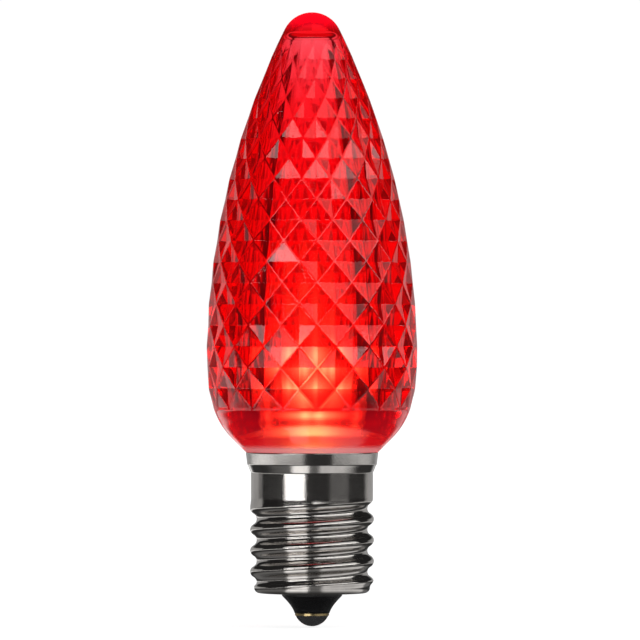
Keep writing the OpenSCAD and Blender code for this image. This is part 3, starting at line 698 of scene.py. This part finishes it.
def turned_piece(name, profile, material, node, segments=128, sharp_from=35):
    """A closed turned piece that stands for a CAD node."""
    bm = bmesh.new()
    revolve(bm, profile, segments, closed=profile[0][0] > 1e-7)
    bmesh.ops.recalc_face_normals(bm, faces=bm.faces)
    smooth(bm, sharp_from)
    piece = new_piece(name)
    bm.to_mesh(piece.data)
    bm.free()
    piece.data.materials.append(material)
    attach(piece, "root")
    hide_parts(node)
    return piece


class BULB_OT_contact(Operator):
    """Build the black glass and the solder dome of the centre contact"""
    bl_idname = "bulb.contact"
    bl_label = "Insulator and Contact"

    def execute(self, context):
        cap, finish = context.scene.bulb_cap, context.scene.bulb_finish
        low_z, shell_z = GLASS_BOX[0].z, SHELL_BOX[0].z
        tube_r = 0.87 * MM
        tip_r, glass_r = cap.glass_tip / 2, cap.glass_diameter / 2
        band_z = shell_z - 0.35 * MM
        flare = []
        for i in range(13):
            share = i / 12
            bend = 0.22 * MM * math.sin(math.pi * share)
            flare.append((tip_r + (glass_r - tip_r) * share ** 1.25 - bend * 0.3,
                          low_z + 0.12 * MM + (band_z - low_z - 0.12 * MM) * share))
        profile = [
            (tube_r, low_z), (tip_r - 0.12 * MM, low_z), *flare, (glass_r, shell_z - 0.05 * MM),
            (glass_r - 0.05 * MM, shell_z), (cap.hole_diameter / 2, shell_z),
            (cap.hole_diameter / 2, shell_z + cap.wall), (cap.hole_diameter / 2 + 0.8 * MM, shell_z + cap.wall),
            (cap.hole_diameter / 2 + 0.4 * MM, GLASS_BOX[1].z), (tube_r, GLASS_BOX[1].z)]
        turned_piece("glass_insulator", profile, black_glass(), "insulator")
        dome_h = FLANGE_BOX[0].z
        dome_r = (dome_h ** 2 + (cap.solder_diameter / 2) ** 2) / (2 * dome_h)
        lean = math.degrees(math.acos((dome_r - dome_h) / dome_r))
        dome = arc((0, dome_r), dome_r, -90, -90 + lean, 16)
        dome[0] = (0, 0)
        turned_piece(
            "solder_dome", dome + [(cap.solder_diameter / 2 - 0.1 * MM, dome_h), (0, dome_h)],
            bright_solder(finish), "contact_solder")
        return {"FINISHED"}


def new_material(name, **sockets):
    """A material whose Principled shader has these values on its own sockets."""
    material = bpy.data.materials.new(name)
    material.use_nodes = True
    tree = Tree(material.node_tree)
    shader = material.node_tree.nodes["Principled BSDF"]
    for socket, value in sockets.items():
        tree.feed(shader.inputs[socket.replace("_", " ")], value)
    return material, tree, shader


def stretched_noise(tree, stretch, scale, detail=3.0, roughness=0.5):
    """Noise on Object coordinates, stretched by a scale along each axis."""
    place = tree.field("ShaderNodeTexCoord", output="Object")
    mapped = tree.field("ShaderNodeMapping", {"Vector": place, "Scale": stretch})
    return tree.field(
        "ShaderNodeTexNoise", {"Vector": mapped, "Scale": scale, "Detail": detail, "Roughness": roughness})


def spread(tree, value, low, high):
    """Maps a value from 0..1 to a range."""
    return tree.field("ShaderNodeMapRange", {"Value": value, "To Min": low, "To Max": high})


def bump(tree, shader, height, strength, distance):
    """Bumps a shader by a height."""
    node = tree.add("ShaderNodeBump", {"Height": height, "Strength": strength, "Distance": distance})
    tree.feed(shader.inputs["Normal"], node.outputs[0])


def mixed(tree, factor, low, high):
    """A colour between two colours."""
    node = tree.add("ShaderNodeMix", {"Factor": factor}, data_type="RGBA")
    colours = [socket for socket in node.inputs if socket.type == "RGBA"]
    tree.feed(colours[0], (*low, 1))
    tree.feed(colours[1], (*high, 1))
    return Field(tree, node.outputs[2])


def absorb(material, colour_kept, density):
    """Fills a material with clear dye."""
    tree = Tree(material.node_tree)
    dye = tree.add("ShaderNodeVolumeAbsorption", {"Color": (*colour_kept, 1), "Density": density})
    output = material.node_tree.nodes["Material Output"]
    tree.feed(output.inputs["Volume"], dye.outputs[0])


def red_plastic(finish):
    """Clear red plastic with the fine level marks of the mould's cutter, and painted light inside it.

    It has a faint painted glow all over. The wall of the core has a painted red glow all the way up, and a painted
    yellow patch at the back, which stands in for the light of the lights below. The core is frosted at its foot,
    the bowl has shallow rings, and the plastic is hazy at the rim.
    """
    material, tree, shader = new_material(
        "red_plastic", Base_Color=(1, 1, 1, 1), IOR=1.54, Transmission_Weight=1.0)
    marks = stretched_noise(tree, (0.05, 0.05, 1.0), 9000.0, 2.0)
    waves = stretched_noise(tree, (1.0, 1.0, 1.0), 900.0, 2.0)
    core = tree.field("ShaderNodeAttribute", output="Fac", attribute_name="core")
    x, y, z = tree.parts(tree.field("ShaderNodeTexCoord", output="Object"))
    height = (z - SHELL_BOX[1].z) / MM
    haze = tree.ease((HAZE_TOP - height) / 0.8) * (1.0 - core) * 0.5
    frost = tree.ease(NECK_FROST_TOP - height) * core * 0.85
    tree.feed(shader.inputs["Transmission Weight"], 1.0 - haze - frost)
    foot_frost = tree.ease((CORE_FROST_TOP - height) / 0.5) * 0.45
    tree.feed(shader.inputs["Roughness"], haze + core * (waves * 0.06 + foot_frost))
    wave = ((height - 5.1) * (math.tau / RING_STEP)).math("SINE")
    rings = wave * band(tree, height, 0.3, 5.6, 0.5) * (1.0 - core)
    bump(tree, shader, (marks + waves * 1.5) * 0.0024 + rings * 0.036, 1.0, MM)
    # Painted yellow glow: a hot patch on the back of the core's wall, seen through the plastic from the front, in
    # place of the lights' light.
    back = tree.ease(y / (3 * MM))
    twins = falloff(x.math("ABSOLUTE") / MM - 1.2, 0.8) * 0.4 + falloff(x / MM, 4.4) * 0.55
    spot = falloff(height - PAINTED_GLOW_HEIGHT, 1.6) + falloff(height - 14.0, 9.0) * 0.06
    painted_hot_spot = spot * twins * (back * 0.95 + 0.05)
    patches = tree.ease((stretched_noise(tree, (1.0, 1.0, 0.7), 330.0) - 0.38) / 0.24)
    # Painted red glow of the whole plastic: faint everywhere, stronger at the bowl and the nose.
    skin = (spread(tree, waves, 0.03, 0.05) + tree.ease((BOWL_PAINTED_GLOW_TOP - height) / 3.0) * 0.2
            + tree.ease((height - NOSE_PAINTED_GLOW_FOOT) / 1.6) * 0.6)
    # Painted red glow on the core's wall: patchy, and brighter at the back.
    red = skin + core * ((patches * 0.8 + 0.1) * (back * 0.7 + 0.3) * 0.16 - skin)
    yellow = painted_hot_spot * core * finish.glow_strength
    total = red + yellow
    tree.feed(shader.inputs["Emission Color"], mixed(tree, yellow / total, PAINTED_RED_LIGHT, finish.glow))
    tree.feed(shader.inputs["Emission Strength"], total)
    absorb(material, RED_DYE, DYE_DENSITY)
    return material


def falloff(distance, width):
    """A bell curve of a distance from its middle."""
    share = distance / width
    return (share * share * -1.0).math("EXPONENT")


def nickel_plate(finish):
    """Drawn metal with bright nickel: fine grain, and upright drawing marks on the rim."""
    material, tree, shader = new_material("nickel_plate", Metallic=1.0)
    grain = stretched_noise(tree, (1.0, 1.0, 1.0), 4200.0, 4.0, 0.7)
    streaks = stretched_noise(tree, (1.0, 1.0, 0.05), 900.0, 3.0)
    cloud = stretched_noise(tree, (1.0, 1.0, 1.0), 260.0, 3.0)
    z = tree.parts(tree.field("ShaderNodeTexCoord", output="Object"))[2]
    rim = tree.ease((z - (SHELL_BOX[1].z - 2.1 * MM)) / (0.3 * MM))
    dark = tuple(0.72 * part for part in finish.nickel)
    tone = spread(tree, cloud + streaks * 0.4, -0.4, 1.4)
    tree.feed(shader.inputs["Base Color"], mixed(tree, tone, dark, finish.nickel))
    tree.feed(shader.inputs["Roughness"], spread(tree, grain, 0.06, 0.2) + rim * 0.02)
    bump(tree, shader, grain + streaks * rim, 0.36, 0.02 * MM)
    return material


def black_glass():
    """Moulded black glass with a slightly wavy skin."""
    material, tree, shader = new_material(
        "black_glass", Base_Color=(0.008, 0.008, 0.009, 1), Roughness=0.12, IOR=1.55)
    waves = stretched_noise(tree, (1.0, 1.0, 1.0), 3000.0, 4.0, 0.6)
    tree.feed(shader.inputs["Roughness"], spread(tree, waves, 0.04, 0.22))
    bump(tree, shader, waves, 1.0, 0.2 * MM)
    return material


def bright_solder(finish):
    """Run solder with a soft skin."""
    material, tree, shader = new_material("bright_solder", Metallic=1.0)
    skin = stretched_noise(tree, (1.0, 1.0, 1.0), 1300.0, 4.0, 0.6)
    dull = tuple(0.6 * part for part in finish.solder)
    tree.feed(shader.inputs["Base Color"], mixed(tree, skin, dull, finish.solder))
    tree.feed(shader.inputs["Roughness"], spread(tree, skin, 0.12, 0.4))
    bump(tree, shader, skin, 0.5, 0.08 * MM)
    return material


def grained(name, low, high, scale, roughness, relief=0.02, **sockets):
    """An opaque material that varies between two colours, with a fine relief."""
    material, tree, shader = new_material(name, **sockets)
    noise = stretched_noise(tree, (1.0, 1.0, 1.0), scale, 4.0, 0.6)
    tree.feed(shader.inputs["Base Color"], mixed(tree, noise, low, high))
    tree.feed(shader.inputs["Roughness"], spread(tree, noise, roughness[0], roughness[1]))
    bump(tree, shader, noise, 0.3, relief * MM)
    return material


def light_resin(finish):
    """Clear resin over a working light."""
    material, tree, shader = new_material(
        "light_resin", Base_Color=(1, 0.6, 0.4, 1), Roughness=0.2, Emission_Color=(*finish.glow, 1))
    skin = stretched_noise(tree, (1.0, 1.0, 1.0), 900.0)
    tree.feed(shader.inputs["Emission Strength"], spread(tree, skin, 0.8, 1.2) * finish.glow_strength * RESIN_SHARE)
    return material


class BULB_OT_inside(Operator):
    """Give the boards, the lights and the other inner parts their finishes"""
    bl_idname = "bulb.inside"
    bl_label = "Inner Parts"

    def execute(self, context):
        finish = context.scene.bulb_finish
        dull_brass = tuple(0.7 * part for part in finish.brass)
        finishes = {
            "contact_brass": grained(
                "bright_brass", dull_brass, finish.brass, 1500.0, (0.15, 0.3), Metallic=1.0),
            "adhesive": grained("cured_resin", (0.72, 0.68, 0.55), (0.88, 0.85, 0.75), 600.0, (0.3, 0.5)),
            "white_plastic": grained("white_plastic", (0.80, 0.79, 0.74), (0.90, 0.89, 0.85), 800.0, (0.35, 0.5)),
            "white_board": grained("white_mask", (0.80, 0.80, 0.77), (0.90, 0.90, 0.88), 700.0, (0.25, 0.4)),
            "green_board": grained("green_mask", (0.03, 0.20, 0.08), (0.06, 0.32, 0.14), 700.0, (0.2, 0.35)),
            "resistor_blue": grained("blue_lacquer", (0.10, 0.24, 0.38), (0.18, 0.38, 0.55), 900.0, (0.2, 0.35)),
            "capacitor_sleeve": grained(
                "shrunk_sleeve", (0.03, 0.035, 0.09), (0.07, 0.08, 0.18), 900.0, (0.15, 0.3)),
            "black_plastic": grained(
                "moulded_resin", (0.012, 0.012, 0.014), (0.04, 0.04, 0.045), 1500.0, (0.4, 0.6)),
            "tinned_wire": grained(
                "tinned_wire", (0.55, 0.55, 0.54), (0.78, 0.78, 0.76), 1500.0, (0.15, 0.35), Metallic=1.0),
            "solder": bright_solder(finish),
            "led_resin": light_resin(finish),
        }
        for part in frame["record"]["subparts"]:
            node = frame["nodes"][part["node"]]
            if not node.hide_render and part["material_slot"] in finishes:
                node.data.materials.clear()
                node.data.materials.append(finishes[part["material_slot"]])
        return {"FINISHED"}


def stage_plane(name, centre, across, up, material):
    """A flat stage panel from its centre and its two half sides."""
    bm = bmesh.new()
    corners = [(-1, -1), (1, -1), (1, 1), (-1, 1)]
    verts = [
        bm.verts.new([centre[k] + sx * across[k] + sz * up[k] for k in range(3)]) for sx, sz in corners]
    bm.faces.new(verts)
    piece = new_piece(name)
    bm.to_mesh(piece.data)
    bm.free()
    piece.data.materials.append(material)
    return piece


def light_paper(name):
    """An empty material with a Light Path, for a stage panel that gives its own white to chosen rays."""
    material = bpy.data.materials.new(name)
    material.use_nodes = True
    tree = Tree(material.node_tree)
    material.node_tree.nodes.remove(material.node_tree.nodes["Principled BSDF"])
    path = tree.add("ShaderNodeLightPath")
    rays = [Field(tree, path.outputs[f"Is {kind} Ray"]) for kind in ("Camera", "Glossy", "Transmission")]
    return material, tree, rays


def band(tree, value, low, high, soft):
    """1 where a value lies between two bounds, with soft ends."""
    rise = tree.ease((value - low) / soft)
    return rise * (tree.ease((value - high) / soft) * -1.0 + 1.0)


def floor_paper():
    """White paper with its shadows, of which metal and glass see only some patches of painted light."""
    material, tree, (seen, glossy, through) = light_paper("floor_paper")
    x, y, _ = tree.parts(tree.field("ShaderNodeTexCoord", output="Object"))
    reach = (x * x + y * y).math("SQRT")
    side = x.math("ARCTAN2", y * -1.0)
    turned = side.math("ABSOLUTE")
    plain = tree.ease((reach - 0.1) / 0.4) * 0.2 + 0.8
    # Painted light that only reflections and refractions see: patches beside, behind and near the bulb, in place of
    # paper lit by the lamps.
    ahead = band(tree, side, -0.27, 0.58, 0.07)
    beside = band(tree, reach, 0.065, 0.15, 0.04) * (1.0 - ahead) * (tree.ease(side / -0.2) * 0.45 + 0.6)
    behind = tree.ease((turned - 2.0) / 0.2)
    sides = band(tree, side, 0.2, 1.8, 0.15) * 0.6 + band(tree, side, -0.8, -0.17, 0.1) * 1.2 + 0.12
    near = band(tree, reach, 0.006, 0.02, 0.01) * sides
    shine = beside.math("MAXIMUM", behind * tree.ease((reach - 0.1) / 0.2) * 0.4).math("MAXIMUM", near)
    lit = tree.ease((reach - 0.15) / 0.08) * tree.ease((turned - 2.15) / 0.15) * 0.5
    strength = seen * plain + glossy * (shine + 0.04) + through * (lit + 0.02)
    white = (glossy.math("MAXIMUM", through) * -1.0 + 1.0) * 0.8
    diffuse = tree.add("ShaderNodeBsdfDiffuse", {"Color": tree.vector(white, white, white)})
    light = tree.add("ShaderNodeEmission", {"Color": (1, 1, 1, 1), "Strength": strength})
    both = tree.add("ShaderNodeAddShader", {0: diffuse.outputs[0], 1: light.outputs[0]})
    tree.feed(material.node_tree.nodes["Material Output"].inputs["Surface"], both.outputs[0])
    return material


def backdrop_paper():
    """A lit white sweep that only metal and glass see, since the world is white for the camera already."""
    material, tree, (_, glossy, through) = light_paper("backdrop_paper")
    z = tree.parts(tree.field("ShaderNodeTexCoord", output="Object"))[2]
    # Painted light: the sweep glows, brighter towards its foot, for refractions, and evenly for reflections.
    lit = tree.ease((z - 0.17) / -0.13) * 0.55 + 0.03
    light = tree.add("ShaderNodeEmission", {"Color": (1, 1, 1, 1), "Strength": glossy * 0.4 + through * lit})
    tree.feed(material.node_tree.nodes["Material Output"].inputs["Surface"], light.outputs[0])
    return material


def backdrop_wall(name, left, right, steps=48):
    """A curved wall behind the bulb, from one azimuth in degrees to another."""
    bm = bmesh.new()
    columns = []
    for i in range(steps + 1):
        turn = math.radians(left + (right - left) * i / steps)
        x, y = BACKDROP_RADIUS * math.sin(turn), -BACKDROP_RADIUS * math.cos(turn)
        columns.append([bm.verts.new((x, y, z)) for z in (0.0, BACKDROP_HEIGHT)])
    for one, two in zip(columns, columns[1:]):
        bm.faces.new((one[0], two[0], two[1], one[1]))
    piece = new_piece(name)
    bm.to_mesh(piece.data)
    bm.free()
    piece.data.materials.append(backdrop_paper())
    for ray in ("camera", "diffuse", "shadow"):
        setattr(piece, "visible_" + ray, False)
    return piece


def area_lamp(name, azimuth, height, distance, width, tall, radiance):
    """A soft lamp that stands at an azimuth from the camera's side, positive to the right, and faces the bulb."""
    data = bpy.data.lights.new(name, "AREA")
    data.shape = "RECTANGLE"
    data.size, data.size_y = width, tall
    data.energy = radiance * math.pi * width * tall
    lamp = bpy.data.objects.new(name, data)
    turn = math.radians(azimuth)
    lamp.location = (distance * math.sin(turn), -distance * math.cos(turn), height)
    aim = -lamp.location
    aim.z += AIM_HEIGHT
    lamp.rotation_euler = aim.to_track_quat("-Z", "Y").to_euler()
    bpy.context.scene.collection.objects.link(lamp)


def studio_world():
    """Plain white for the camera, and a dim room for everything else."""
    world = bpy.data.worlds.new("studio")
    bpy.context.scene.world = world
    world.use_nodes = True
    tree = Tree(world.node_tree)
    path = tree.add("ShaderNodeLightPath")
    seen, soft = (Field(tree, path.outputs[f"Is {kind} Ray"]) for kind in ("Camera", "Diffuse"))
    background = world.node_tree.nodes["Background"]
    tree.feed(background.inputs["Color"], (1, 1, 1, 1))
    tree.feed(background.inputs["Strength"], seen + soft * 0.2 + 0.02)


class BULB_OT_stage(Operator):
    """Set up the floor, the backdrop, the lamps and the camera"""
    bl_idname = "bulb.stage"
    bl_label = "Stage"

    def execute(self, context):
        scene, stage = context.scene, context.scene.bulb_stage
        scene.view_settings.view_transform = "Standard"
        studio_world()
        floor = stage_plane(
            "floor", (0, 0, -FLOOR_DROP), (FLOOR_HALF, 0, 0), (0, FLOOR_HALF, 0), floor_paper())
        floor.visible_shadow = False
        backdrop_wall("backdrop", 130, 230)
        backdrop_wall("backdrop_side", 230, 253).visible_transmission = False
        for lamp in LAMPS:
            area_lamp(*lamp)
        camera_data = bpy.data.cameras.new("camera")
        camera_data.sensor_width = 36
        camera_data.lens = 36 * stage.distance / stage.view_width
        camera_data.clip_start, camera_data.clip_end = 0.01, 20
        camera = bpy.data.objects.new("camera", camera_data)
        camera.location = (stage.offset, -stage.distance, stage.camera_height)
        camera.rotation_euler = (math.pi / 2, 0, 0)
        scene.collection.objects.link(camera)
        scene.camera = camera
        return {"FINISHED"}


class BULB_PT_panel(Panel):
    """Lists the bulb's steps and sizes"""
    bl_idname = "BULB_PT_panel"
    bl_label = "Faceted Screw Bulb"
    bl_space_type = "VIEW_3D"
    bl_region_type = "UI"
    bl_category = "Bulb"

    def draw(self, context):
        for operator in OPERATORS:
            self.layout.operator(operator.bl_idname)
        for name in SETTINGS:
            box = self.layout.box()
            group = getattr(context.scene, name)
            for prop in group.bl_rna.properties:
                if prop.identifier not in ("rna_type", "name"):
                    box.prop(group, prop.identifier)


SETTINGS = {
    "bulb_lens": LensSettings,
    "bulb_cap": CapSettings,
    "bulb_finish": FinishSettings,
    "bulb_stage": StageSettings,
}
OPERATORS = (BULB_OT_lens, BULB_OT_shell, BULB_OT_contact, BULB_OT_inside, BULB_OT_stage)


def register():
    """Registers the classes and hangs the settings on the scene."""
    for item in (*SETTINGS.values(), *OPERATORS, BULB_PT_panel):
        bpy.utils.register_class(item)
    for name, group in SETTINGS.items():
        setattr(bpy.types.Scene, name, PointerProperty(type=group))


def unregister():
    """Takes the settings and the classes away again."""
    for name in SETTINGS:
        delattr(bpy.types.Scene, name)
    for item in (BULB_PT_panel, *reversed(OPERATORS), *reversed(SETTINGS.values())):
        bpy.utils.unregister_class(item)


def main():
    """Builds everything in order."""
    register()
    bpy.ops.bulb.lens()
    bpy.ops.bulb.shell()
    bpy.ops.bulb.contact()
    bpy.ops.bulb.inside()
    bpy.ops.bulb.stage()


if __name__ == "__main__":
    main()
